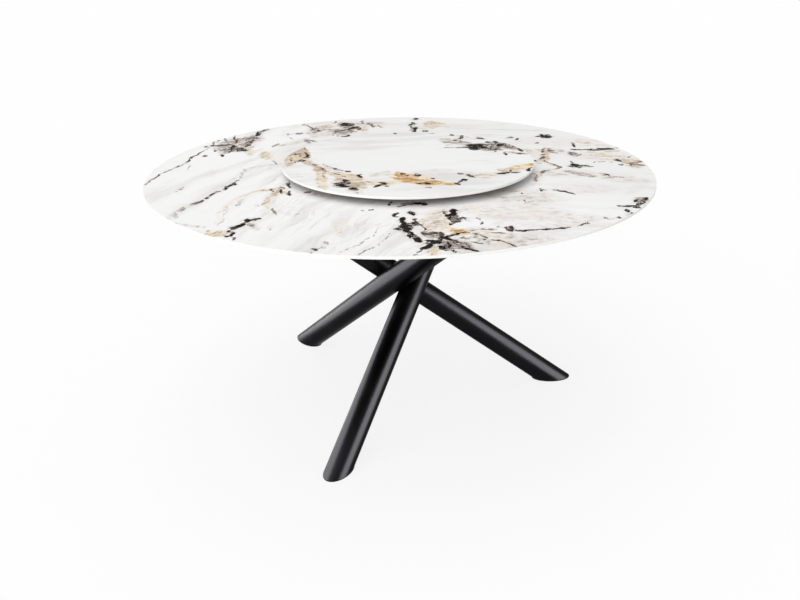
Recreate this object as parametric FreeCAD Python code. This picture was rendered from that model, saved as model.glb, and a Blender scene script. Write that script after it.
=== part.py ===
import FreeCAD, Part
import math
import os

# Round dining table on three crossing tubes, with a turning lazy susan standing on its top.
# Millimetres and degrees. The floor is z = 0, the table's axis is the Z axis, the front is -Y.

# Table top: one stone slab with an upright rim over a shallow undercut
top_diameter = 1500.0
top_height = 745.0
top_thickness = 12.0
top_rim_height = 7.0
top_undercut_width = 15.0
top_arris = 0.8

# Board bonded under the slab, which takes the screws
board_setback = 130.0
board_thickness = 15.0
board_chamfer = 4.0
bond_thickness = 1.0
bond_setback = 15.0

# Leg tubes: straight, cut parallel to the floor at both ends, crossing at the waist
leg_names = ("front", "right", "left")
tube_diameter = 76.0
tube_wall = 2.5
foot_circle_radius = 516.0
first_foot_bearing = -110.0
leg_setback = 176.0
waist_gap = 0.4
waist_weld_radius = 13.0

# Plate welded on the upper end of each tube
plate_thickness = 5.0
plate_end_margin = 45.0
plate_side_margin = 28.0
plate_corner_radius = 20.0
plate_weld_size = 5.0
plate_weld_toe = 0.5

# Screws through the plates into threaded inserts in the board
screw_diameter = 8.0
screw_length = 18.0
screw_head_diameter = 14.0
screw_head_height = 4.4
screw_socket_across_flats = 5.0
screw_socket_depth = 2.6
screw_edge_distance = 21.0
screw_hole_clearance = 0.5
washer_hole_clearance = 0.2
washer_diameter = 16.0
washer_thickness = 1.6
insert_diameter = 12.0
insert_length = 13.0
insert_thread_clearance = 0.05

# Plastic cap pushed into the lower end of each tube
cap_flange_height = 4.0
cap_chamfer = 1.0
cap_plug_depth = 22.0
cap_plug_wall = 3.0
cap_plug_clearance = 0.2

# Lazy susan, set down on the table top beside the table's axis
susan_diameter = 750.0
susan_thickness = 12.0
susan_rim_height = 7.0
susan_undercut_width = 18.0
susan_arris = 0.8
susan_offset_x = 28.5
susan_offset_y = -2.0

# Ball bearing under the lazy susan: an inner ring that stands still and an outer ring that turns
ball_pitch_radius = 190.0
ball_diameter = 6.0
ball_count = 36
race_clearance = 0.4
race_land = 1.6
ring_gap = 2.4
ring_width = 14.8
ring_step = 2.0
ring_chamfer = 0.8
cage_thickness = 1.2
cage_pocket_clearance = 0.15
cage_pocket_land = 0.8

# Rubber feet under the inner ring and soft pads on the outer ring, each with a stem in its ring
pad_count = 6
pad_diameter = 13.0
pad_height = 3.0
pad_stem_diameter = 4.0
pad_stem_length = 4.0
pad_stem_clearance = 0.05

# Values worked out from the ones above
up = FreeCAD.Vector(0, 0, 1)
board_radius = top_diameter / 2 - board_setback
slab_bottom = top_height - top_thickness
board_top = slab_bottom - bond_thickness
board_bottom = board_top - board_thickness
plate_bottom = board_bottom - plate_thickness
tube_radius = tube_diameter / 2
tube_bore_radius = tube_radius - tube_wall
plate_circle_radius = board_radius - leg_setback
insert_bore_radius = screw_diameter / 2 + insert_thread_clearance
washer_bottom = plate_bottom - washer_thickness
washer_hole_radius = screw_diameter / 2 + washer_hole_clearance
ball_radius = ball_diameter / 2
race_radius = ball_radius + race_clearance
ring_height = 2 * (race_radius + race_land)
fixed_ring_bottom = top_height + pad_height
turning_ring_bottom = fixed_ring_bottom + ring_step
ball_level = fixed_ring_bottom + (ring_height + ring_step) / 2
turning_ring_top = turning_ring_bottom + ring_height
susan_bottom = turning_ring_top + pad_height
fixed_ring_outer = ball_pitch_radius - ring_gap / 2
turning_ring_inner = ball_pitch_radius + ring_gap / 2
susan_centre = FreeCAD.Vector(susan_offset_x, susan_offset_y, 0)


def waist_radius():
    """Plan distance from the table's axis to each tube's axis.

    Three tubes are turned 120 degrees apart, tilted by t from upright, and pass the table's
    axis at plan distance a. The shortest distance between two of their axes is
    3 a sin t cos t / sqrt(0.75 sin^4 t + 3 sin^2 t cos^2 t). The tilt depends on a a little,
    so the radius that leaves waist_gap between two tubes is found by repeated substitution.
    """
    spacing = tube_diameter + waist_gap
    radius = tube_radius
    for _ in range(40):
        run = leg_run(foot_circle_radius, radius) + leg_run(plate_circle_radius, radius)
        tilt = math.atan2(run, plate_bottom - cap_flange_height)
        sine, cosine = math.sin(tilt), math.cos(tilt)
        spread = math.sqrt(0.75 * sine**4 + 3 * (sine * cosine) ** 2)
        radius = spacing * spread / (3 * sine * cosine)
    return radius


def leg_run(circle_radius, radius):
    """Plan distance along a tube from its waist point to a circle round the table's axis."""
    return math.sqrt(circle_radius**2 - radius**2)


tube_offset = waist_radius()
foot_run = leg_run(foot_circle_radius, tube_offset)
plate_run = leg_run(plate_circle_radius, tube_offset)
leg_rise = plate_bottom - cap_flange_height
leg_slope = (foot_run + plate_run) / leg_rise
leg_tilt = math.atan(leg_slope)
waist_level = cap_flange_height + foot_run / leg_slope
section_half_length = tube_radius / math.cos(leg_tilt)
plate_length = 2 * (section_half_length + plate_end_margin)
plate_width = 2 * (tube_radius + plate_side_margin)


def plan_vector(bearing):
    """Level unit vector at a bearing in degrees from +X."""
    return FreeCAD.Vector(math.cos(math.radians(bearing)), math.sin(math.radians(bearing)), 0)


def leg_bearing(index):
    """Bearing of a tube's plan direction, from its foot towards its upper end."""
    waist_bearing = first_foot_bearing + math.degrees(math.atan2(foot_run, tube_offset))
    return waist_bearing + 120 * index + 90


def leg_point(index, level):
    """Point on a tube's axis at a level above the floor."""
    bearing = leg_bearing(index)
    along = plan_vector(bearing) * ((level - waist_level) * leg_slope)
    return plan_vector(bearing - 90) * tube_offset + along + up * level


def leg_direction(index):
    """Unit vector up along a tube's axis."""
    return (leg_point(index, plate_bottom) - leg_point(index, 0)).normalize()


def cylinder(radius, bottom, top, centre=FreeCAD.Vector(0, 0, 0)):
    """Upright cylinder between two levels."""
    return Part.makeCylinder(radius, top - bottom, centre + up * bottom, up)


def leg_bar(index, radius, bottom, top):
    """Round bar on a tube's axis, cut level at both ends."""
    overrun = 3 * radius / math.cos(leg_tilt)
    start = leg_point(index, bottom - overrun)
    end = leg_point(index, top + overrun)
    bar = Part.makeCylinder(radius, (end - start).Length, start, leg_direction(index))
    reach = 2 * top_diameter
    corner = FreeCAD.Vector(-reach, -reach, bottom)
    return bar.common(Part.makeBox(2 * reach, 2 * reach, top - bottom, corner))


def turned(points, arc_between=None):
    """Solid turned about the Z axis from (radius, level) points, with one edge as a quarter arc."""
    corners = [FreeCAD.Vector(radius, 0, level) for radius, level in points]
    edges = []
    for index, start in enumerate(corners):
        end = corners[(index + 1) % len(corners)]
        if index == arc_between:
            size = start.x - end.x
            centre = FreeCAD.Vector(end.x, 0, start.z)
            middle = centre + FreeCAD.Vector(size, 0, size) * math.sqrt(0.5)
            edges.append(Part.Arc(start, middle, end).toShape())
        else:
            edges.append(Part.LineSegment(start, end).toShape())
    return Part.Face(Part.Wire(edges)).revolve(FreeCAD.Vector(0, 0, 0), up, 360)


def slab(radius, bottom, thickness, rim_height, undercut_width, arris):
    """Round stone slab: eased upper edge, upright rim, shallow sloping undercut below the rim."""
    top = bottom + thickness
    outline = [
        (0, bottom),
        (radius - undercut_width, bottom),
        (radius, top - rim_height),
        (radius, top - arris),
        (radius - arris, top),
        (0, top),
    ]
    return turned(outline, arc_between=3)


def level_ellipse(centre, half_length, half_width, bearing):
    """Wire of a level ellipse whose long axis lies at a bearing."""
    along = plan_vector(bearing)
    ellipse = Part.Ellipse(
        centre + along * half_length, centre + plan_vector(bearing + 90) * half_width, centre
    )
    return Part.Wire(ellipse.toShape())


def table_top():
    return slab(
        top_diameter / 2, slab_bottom, top_thickness, top_rim_height, top_undercut_width, top_arris
    )


def bonding_layer():
    return cylinder(board_radius - bond_setback, board_top, slab_bottom)


def screw_places():
    """Plan positions of all screws, each on its plate's underside."""
    places = []
    half_length = plate_length / 2 - screw_edge_distance
    half_width = plate_width / 2 - screw_edge_distance
    for index in range(len(leg_names)):
        centre = leg_point(index, plate_bottom)
        along = plan_vector(leg_bearing(index))
        across = plan_vector(leg_bearing(index) + 90)
        for x_side in (-1, 1):
            for y_side in (-1, 1):
                places.append(centre + along * (x_side * half_length) + across * (y_side * half_width))
    return places


def at_level(point, level):
    """The same plan position at another level."""
    return FreeCAD.Vector(point.x, point.y, level)


def insert_bodies(radius):
    """Upright bars in the board at every screw, as tall as an insert."""
    bars = []
    for place in screw_places():
        base = at_level(place, board_bottom)
        bars.append(Part.makeCylinder(radius, insert_length, base, up))
    return bars


def mounting_board():
    """Round board with a chamfered lower edge and a blind hole for each threaded insert."""
    outline = [
        (0, board_bottom),
        (board_radius - board_chamfer, board_bottom),
        (board_radius, board_bottom + board_chamfer),
        (board_radius, board_top),
        (0, board_top),
    ]
    return turned(outline).cut(Part.makeCompound(insert_bodies(insert_diameter / 2)))


def threaded_inserts():
    sleeves = []
    for outer, bore in zip(insert_bodies(insert_diameter / 2), insert_bodies(insert_bore_radius)):
        sleeves.append(outer.cut(bore))
    return Part.makeCompound(sleeves)


def leg_tube(index):
    outer = leg_bar(index, tube_radius, cap_flange_height, plate_bottom)
    return outer.cut(leg_bar(index, tube_bore_radius, 0, board_bottom))


def leg_plate(index):
    """Rounded plate on the tube's end, long along the tube's plan direction."""
    corner = FreeCAD.Vector(-plate_length / 2, -plate_width / 2, 0)
    plate = Part.makeBox(plate_length, plate_width, plate_thickness, corner)
    upright = [edge for edge in plate.Edges if abs(edge.tangentAt(0).z) > 0.9]
    plate = plate.makeFillet(plate_corner_radius, upright)
    plate.rotate(FreeCAD.Vector(0, 0, 0), up, leg_bearing(index))
    plate.translate(leg_point(index, plate_bottom))
    hole_radius = screw_diameter / 2 + screw_hole_clearance
    holes = []
    for place in screw_places()[4 * index : 4 * index + 4]:
        holes.append(Part.makeCylinder(hole_radius, plate_thickness, place, up))
    return plate.cut(Part.makeCompound(holes))


def plate_weld(index):
    """Fillet weld round the tube under its plate: a leaning elliptical collar less the tube."""
    bearing = leg_bearing(index)
    toe_level = plate_bottom - plate_weld_size
    rings = []
    for level, growth in ((toe_level, plate_weld_toe), (plate_bottom, plate_weld_size)):
        centre = leg_point(index, level)
        half_length = section_half_length + growth
        rings.append(level_ellipse(centre, half_length, tube_radius + growth, bearing))
    collar = Part.makeLoft(rings, True, True)
    return collar.cut(leg_bar(index, tube_radius, toe_level - tube_radius, board_bottom))


def plate_welds():
    return Part.makeCompound([plate_weld(index) for index in range(len(leg_names))])


def crossing_weld(index):
    """Weld that fills the narrow space between two tubes round their nearest points."""
    other = (index + 1) % len(leg_names)
    first, second = leg_direction(index), leg_direction(other)
    between = leg_point(other, waist_level) - leg_point(index, waist_level)
    lean = first.dot(second)
    first_run = (between.dot(first) - lean * between.dot(second)) / (1 - lean**2)
    second_run = (lean * between.dot(first) - between.dot(second)) / (1 - lean**2)
    near = leg_point(index, waist_level) + first * first_run
    far = leg_point(other, waist_level) + second * second_run
    across = (far - near).normalize()
    middle = (near + far) * 0.5
    start = middle - across * waist_weld_radius
    button = Part.makeCylinder(waist_weld_radius, 2 * waist_weld_radius, start, across)
    low, high = waist_level - tube_diameter * 3, waist_level + tube_diameter * 3
    for neighbour in (index, other):
        button = button.cut(leg_bar(neighbour, tube_radius, low, high))
    return min(button.Solids, key=lambda solid: solid.CenterOfMass.distanceToPoint(middle))


def crossing_welds():
    return Part.makeCompound([crossing_weld(index) for index in range(len(leg_names))])


def plate_washers():
    washers = []
    for place in screw_places():
        base = at_level(place, washer_bottom)
        washer = Part.makeCylinder(washer_diameter / 2, washer_thickness, base, up)
        hole = Part.makeCylinder(washer_hole_radius, washer_thickness, base, up)
        washers.append(washer.cut(hole))
    return Part.makeCompound(washers)


def button_screw(place):
    """Button-head screw under a washer, pointing up, with a hexagon socket in its head."""
    head_bottom = washer_bottom - screw_head_height
    base = at_level(place, head_bottom)
    crown_radius = screw_head_diameter / 2 - screw_head_height / 2
    crown = Part.makeCone(crown_radius, screw_head_diameter / 2, screw_head_height / 2, base, up)
    collar_base = base + up * (screw_head_height / 2)
    collar = Part.makeCylinder(screw_head_diameter / 2, screw_head_height / 2, collar_base, up)
    shank = Part.makeCylinder(screw_diameter / 2, screw_length, at_level(place, washer_bottom), up)
    corners = []
    for side in range(7):
        corner = plan_vector(60 * side) * (screw_socket_across_flats / math.sqrt(3))
        corners.append(base + corner)
    socket = Part.Face(Part.makePolygon(corners)).extrude(up * screw_socket_depth)
    return crown.fuse([collar, shank]).cut(socket).removeSplitter()


def plate_screws():
    return Part.makeCompound([button_screw(place) for place in screw_places()])


def foot_cap(index):
    """Cap with an upright flange on the floor and a hollow plug up inside the tube."""
    bearing = leg_bearing(index)
    centre = leg_point(index, cap_flange_height) - up * cap_flange_height
    sole = level_ellipse(centre, section_half_length, tube_radius, bearing)
    flange = Part.Face(sole).extrude(up * cap_flange_height)
    lower_edges = [edge for edge in flange.Edges if abs(edge.CenterOfMass.z) < 0.001]
    flange = flange.makeChamfer(cap_chamfer, lower_edges)
    plug_top = cap_flange_height + cap_plug_depth
    plug_radius = tube_bore_radius - cap_plug_clearance
    plug = leg_bar(index, plug_radius, cap_flange_height, plug_top)
    hollow = leg_bar(index, plug_radius - cap_plug_wall, cap_flange_height, plug_top)
    return flange.fuse(plug.cut(hollow)).removeSplitter()


def susan_disc():
    radius = susan_diameter / 2
    disc = slab(
        radius, susan_bottom, susan_thickness, susan_rim_height, susan_undercut_width, susan_arris
    )
    disc.translate(susan_centre)
    return disc


def pad_places(circle_radius):
    """Plan positions of the pads, evenly spaced on a bearing ring."""
    step = 360 / pad_count
    return [susan_centre + plan_vector(step * index) * circle_radius for index in range(pad_count)]


def stems(circle_radius, root_level, direction, radius):
    """Pins that reach from a ring's face into the ring, one at each pad."""
    pins = []
    for place in pad_places(circle_radius):
        base = at_level(place, root_level)
        pins.append(Part.makeCylinder(radius, pad_stem_length, base, direction))
    return pins


def bearing_ring(inner_radius, bottom, pad_face_level, stem_direction):
    """Aluminium ring with chamfered edges, a ball race and blind holes for the pads' stems."""
    outer_radius = inner_radius + ring_width
    top = bottom + ring_height
    chamfer = ring_chamfer
    outline = [
        (inner_radius + chamfer, bottom),
        (outer_radius - chamfer, bottom),
        (outer_radius, bottom + chamfer),
        (outer_radius, top - chamfer),
        (outer_radius - chamfer, top),
        (inner_radius + chamfer, top),
        (inner_radius, top - chamfer),
        (inner_radius, bottom + chamfer),
    ]
    race = Part.makeTorus(ball_pitch_radius, race_radius, up * ball_level, up)
    ring = turned(outline).cut(race)
    ring.translate(susan_centre)
    pin_radius = pad_stem_diameter / 2 + pad_stem_clearance
    pin_circle = inner_radius + ring_width / 2
    holes = stems(pin_circle, pad_face_level, stem_direction, pin_radius)
    return ring.cut(Part.makeCompound(holes))


def fixed_ring():
    return bearing_ring(fixed_ring_outer - ring_width, fixed_ring_bottom, fixed_ring_bottom, up)


def turning_ring():
    return bearing_ring(turning_ring_inner, turning_ring_bottom, turning_ring_top, -up)


def soft_pads(circle_radius, bottom, stem_root, stem_direction):
    """Round pads, each with a stem that holds it in its ring."""
    pins = stems(circle_radius, stem_root, stem_direction, pad_stem_diameter / 2)
    pads = []
    for place, pin in zip(pad_places(circle_radius), pins):
        disc = Part.makeCylinder(pad_diameter / 2, pad_height, at_level(place, bottom), up)
        pads.append(disc.fuse(pin).removeSplitter())
    return Part.makeCompound(pads)


def rubber_feet():
    circle_radius = fixed_ring_outer - ring_width / 2
    return soft_pads(circle_radius, top_height, fixed_ring_bottom, up)


def disc_pads():
    circle_radius = turning_ring_inner + ring_width / 2
    return soft_pads(circle_radius, turning_ring_top, turning_ring_top, -up)


def ball_centre(index):
    return susan_centre + plan_vector(360 / ball_count * index) * ball_pitch_radius + up * ball_level


def bearing_balls():
    balls = [Part.makeSphere(ball_radius, ball_centre(index)) for index in range(ball_count)]
    return Part.makeCompound(balls)


def ball_cage():
    """Thin upright ring between the bearing rings with a round pocket for each ball."""
    pocket_radius = ball_radius + cage_pocket_clearance
    half_height = pocket_radius + cage_pocket_land
    outer_radius = ball_pitch_radius + cage_thickness / 2
    inner_radius = ball_pitch_radius - cage_thickness / 2
    outer = cylinder(outer_radius, ball_level - half_height, ball_level + half_height, susan_centre)
    inner = cylinder(inner_radius, ball_level - half_height, ball_level + half_height, susan_centre)
    pockets = []
    for index in range(ball_count):
        outward = plan_vector(360 / ball_count * index)
        start = ball_centre(index) - outward * ball_radius
        pockets.append(Part.makeCylinder(pocket_radius, ball_diameter, start, outward))
    return outer.cut(inner).cut(Part.makeCompound(pockets))


pieces = {
    "table_top": table_top(),
    "bonding_layer": bonding_layer(),
    "mounting_board": mounting_board(),
    "threaded_inserts": threaded_inserts(),
    "plate_welds": plate_welds(),
    "plate_washers": plate_washers(),
    "plate_screws": plate_screws(),
    "crossing_welds": crossing_welds(),
    "lazy_susan_disc": susan_disc(),
    "disc_support_pads": disc_pads(),
    "bearing_turning_ring": turning_ring(),
    "bearing_fixed_ring": fixed_ring(),
    "bearing_balls": bearing_balls(),
    "ball_cage": ball_cage(),
    "bearing_rubber_feet": rubber_feet(),
}
for leg_index, leg_name in enumerate(leg_names):
    pieces[leg_name + "_leg_tube"] = leg_tube(leg_index)
    pieces[leg_name + "_leg_plate"] = leg_plate(leg_index)
    pieces[leg_name + "_foot_cap"] = foot_cap(leg_index)

os.makedirs("parts", exist_ok=True)
for name, shape in sorted(pieces.items()):
    shape.exportStep("parts/" + name + ".step")
    solids = len(shape.Solids)
    print(f"{name}: {solids} solid(s), {shape.Volume / 1000:.1f} cm3, valid {shape.isValid()}")
print(f"tube tilt {math.degrees(leg_tilt):.2f}, waist at z {waist_level:.1f}, offset {tube_offset:.2f}")
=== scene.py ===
import math

import bpy
import numpy as np
from mathutils import Matrix, Vector


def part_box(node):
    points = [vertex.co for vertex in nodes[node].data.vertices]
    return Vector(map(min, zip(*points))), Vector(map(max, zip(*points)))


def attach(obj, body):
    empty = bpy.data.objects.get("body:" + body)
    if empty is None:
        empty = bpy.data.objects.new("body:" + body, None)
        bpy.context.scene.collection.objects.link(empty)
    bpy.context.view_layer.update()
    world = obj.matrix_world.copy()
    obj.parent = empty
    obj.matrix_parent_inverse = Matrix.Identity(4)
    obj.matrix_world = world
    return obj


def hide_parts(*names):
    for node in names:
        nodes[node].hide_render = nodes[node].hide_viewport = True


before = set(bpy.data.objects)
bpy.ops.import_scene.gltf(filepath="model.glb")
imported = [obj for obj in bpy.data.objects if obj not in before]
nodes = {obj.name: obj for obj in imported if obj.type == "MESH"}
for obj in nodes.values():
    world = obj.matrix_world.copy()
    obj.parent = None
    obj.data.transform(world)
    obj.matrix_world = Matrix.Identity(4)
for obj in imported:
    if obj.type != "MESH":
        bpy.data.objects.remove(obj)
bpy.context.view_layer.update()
MM = 0.001

# Slab profile, in millimetres
rim_height = 7.0
top_undercut_width = 15.0
susan_undercut_width = 18.0
arris = 0.8
support_ring = 1.5
# Cells across each slab's face, about 5 mm wide on the top and 3 mm on the lazy susan
top_grid_count = 296
susan_grid_count = 250
# Turn between two faces, in degrees, from which their edge stays sharp
sharp_angle = 35

# Camera at standing height in front of the table, in metres and degrees (lens and sensor in mm)
camera_distance = 2.8389
camera_height = 1.5119
camera_down_tilt = 23.359
camera_turn = -1.529
camera_roll = -1.163
camera_lens = 43.56
camera_sensor = 36.0
camera_shift = (0.0306, 0.0139)
camera_reach = 200.0

# Studio light: even surround and large soft lamps (bearing from +X, height above level, width)
surround_strength = 0.42
lamps = {
    "overhead_softbox": dict(bearing=115, height=76, width=60, strength=0.85),
    "front_softbox": dict(bearing=-118, height=34, width=80, strength=1.85),
}
# Low strips that only light the steel frame, in metres: place, aim, width and height, radiance
leg_lamps = {
    "right_strip": dict(place=(2.4, -0.94, 0.85), aim=(0.0, -0.2, 0.2), size=(2.3, 1.9), radiance=18.5),
    "left_strip": dict(place=(-0.95, 0.03, 0.35), aim=(-0.2, 0.1, 0.25), size=(2.8, 1.15), radiance=18.0),
}

# Floor: width in metres, display colours, and how brightly the eye sees it glow
floor_size = 60.0
floor_colours = ((246, 246, 246), (250, 250, 250))
floor_glow = 0.84

# How strong a glancing reflection on the powder coat is, as a colour
edge_tint = (0.52, 0.52, 0.52, 1.0)

# Stone colours as display values: body, grey level of the ground at the front left and the back
# right (the darker back right level is painted shade), and pale, strong and vein colour of each stain
top_body, susan_body = (248, 247, 242), (248, 247, 245)
top_painted_shade_levels, susan_painted_shade_levels = (244, 236), (240, 239)
cloud_colour = (218, 217, 215)
thread_colour = (180, 172, 166)
haze_colour = (176, 164, 156)
back_colours = ((212, 209, 203), (190, 187, 180))
stain_colours = {
    "mauve": ((226, 220, 214), (160, 147, 138), (96, 84, 78)),
    "tan": ((238, 230, 219), (197, 177, 154), (132, 108, 86)),
    "gold": ((243, 226, 196), (206, 164, 108), (138, 98, 52)),
}
# Colour of the dark marks by depth, from 0 to 1
ink_tones = (
    (0.0, (206, 198, 192)), (0.18, (152, 140, 132)), (0.40, (84, 72, 67)),
    (0.60, (36, 29, 27)), (0.9, (12, 9, 9)),
)
thread_opacity = 0.4
fragment_scale = 75.0

# Streaks: plan bearings at the left and the right in degrees, how many metres out these are
# reached, and how much narrower than long the clouds and the stains are
top_streaks, susan_streaks = (70, 5), (5, 5)
streak_turn_reach = 0.6
cloud_narrowing = 4.5
stain_narrowing = 2.5

# Dark marks this broad (half width in mm) and paler than this are haze
broad_mark = 12
pale_mark = 0.6
# Haze round the other dark marks: factor and mm added on the half width, factor on the depth
margin_factor, margin_width, margin_depth = 1.6, 6, 0.45
# Sideways push of all marks: wavelengths and reaches in mm, waves of each, seed of each slab
wander_sizes = ((80, 5), (25, 2.5))
wave_count = 6
top_seed, susan_seed = 11, 23
# Distance in mm over which one dark mark's depth gives way to its neighbour's
blend_length = 2.5
# Power that lifts the depth of the paler dark marks
depth_power = 0.6
# Ink stops this many mm outside its mark, even where the mesh's values pass from mark to mark
grid_slack = 3.5


# ---- stage

def srgb(red, green, blue):
    """Linear colour for a surface colour given as 0 to 255 display values."""
    shares = [value / 255 for value in (red, green, blue)]
    linear = [s / 12.92 if s <= 0.04045 else ((s + 0.055) / 1.055) ** 2.4 for s in shares]
    return (*linear, 1.0)


def add_camera():
    """Camera that looks along +Y, turned, tilted down and rolled a little."""
    data = bpy.data.cameras.new("camera")
    data.lens = camera_lens
    data.sensor_width = camera_sensor
    data.shift_x, data.shift_y = camera_shift
    data.clip_end = camera_reach
    camera = bpy.data.objects.new("camera", data)
    bpy.context.scene.collection.objects.link(camera)
    turn = Matrix.Rotation(math.radians(camera_turn), 4, "Z").inverted()
    tilt = Matrix.Rotation(math.radians(90 - camera_down_tilt), 4, "X")
    roll = Matrix.Rotation(math.radians(camera_roll), 4, "Z")
    place = Matrix.Translation((0, -camera_distance, camera_height))
    camera.matrix_world = place @ turn @ tilt @ roll
    bpy.context.scene.camera = camera


def add_surround():
    """Even grey light from all round, seen as white past the floor's edge and in gloss."""
    world = bpy.data.worlds.new("surround")
    world.use_nodes = True
    tree = world.node_tree
    background = tree.nodes["Background"]
    background.inputs["Color"].default_value = srgb(255, 255, 255)
    strength = seen_by_eye(tree, surround_strength, 1.0)
    tree.links.new(strength, background.inputs["Strength"])
    bpy.context.scene.world = world


def seen_by_eye(tree, otherwise, seen):
    """One value for rays from the camera, also by way of gloss or glass, and one for others."""
    path = tree.nodes.new("ShaderNodeLightPath")
    share = path.outputs["Is Camera Ray"]
    for ray in ("Is Glossy Ray", "Is Transmission Ray"):
        either = tree.nodes.new("ShaderNodeMath")
        either.operation = "MAXIMUM"
        tree.links.new(share, either.inputs[0])
        tree.links.new(path.outputs[ray], either.inputs[1])
        share = either.outputs[0]
    value = tree.nodes.new("ShaderNodeMapRange")
    value.inputs["To Min"].default_value = otherwise
    value.inputs["To Max"].default_value = seen
    tree.links.new(share, value.inputs["Value"])
    return value.outputs[0]


def aim_lamp(name, data, towards):
    """Lamp object in the scene that shines from the side that towards points to."""
    light = bpy.data.objects.new(name, data)
    light.rotation_mode = "QUATERNION"
    light.rotation_quaternion = towards.to_track_quat("Z", "Y")
    bpy.context.scene.collection.objects.link(light)
    return light


def add_lamps():
    """Soft lamps far away, so that their light is even over the whole floor."""
    for name, lamp in lamps.items():
        data = bpy.data.lights.new(name, "SUN")
        data.energy = lamp["strength"]
        data.angle = math.radians(lamp["width"])
        bearing, height = math.radians(lamp["bearing"]), math.radians(lamp["height"])
        level = math.cos(height)
        towards = Vector((level * math.cos(bearing), level * math.sin(bearing), math.sin(height)))
        aim_lamp(name, data, towards)


def add_leg_lamps():
    """Strips beside the table, flagged off everything but the steel frame."""
    steel = bpy.data.collections.new("steel_frame")
    for name, node in nodes.items():
        if "leg" in name or "weld" in name:
            steel.objects.link(node)
    for name, lamp in leg_lamps.items():
        data = bpy.data.lights.new(name, "AREA")
        data.shape = "RECTANGLE"
        data.size, data.size_y = lamp["size"]
        data.energy = lamp["radiance"] * math.pi * data.size * data.size_y
        light = aim_lamp(name, data, Vector(lamp["place"]) - Vector(lamp["aim"]))
        light.location = lamp["place"]
        light.visible_camera = False
        light.light_linking.receiver_collection = steel
        light.light_linking.blocker_collection = steel


def add_floor():
    """Plain white floor that keeps a light soft shadow, and is clear when seen from below."""
    half = floor_size / 2
    mesh = bpy.data.meshes.new("floor")
    corners = [(-half, -half, 0), (half, -half, 0), (half, half, 0), (-half, half, 0)]
    mesh.from_pydata(corners, [], [(0, 1, 2, 3)])
    floor = bpy.data.objects.new("floor", mesh)
    bpy.context.scene.collection.objects.link(floor)
    paint = Paint("floor_white", roughness=0.9, specular=0.0)
    paint.colour(paint.noise(paint.place, 3.0, 4, 0.6), *floor_colours)
    glow = paint.node("Emission", {"Color": (1, 1, 1, 1), "Strength": 1.0})
    share = seen_by_eye(paint.tree, 0.0, floor_glow)
    mix = paint.node("MixShader", {0: share, 1: paint.shader.outputs[0], 2: glow.outputs[0]})
    below = paint.node("NewGeometry").outputs["Backfacing"]
    clear = paint.node("BsdfTransparent")
    side = paint.node("MixShader", {0: below, 1: mix.outputs[0], 2: clear.outputs[0]})
    paint.tree.links.new(side.outputs[0], paint.tree.nodes["Material Output"].inputs["Surface"])
    mesh.materials.append(paint.material)


# ---- paint

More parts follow.
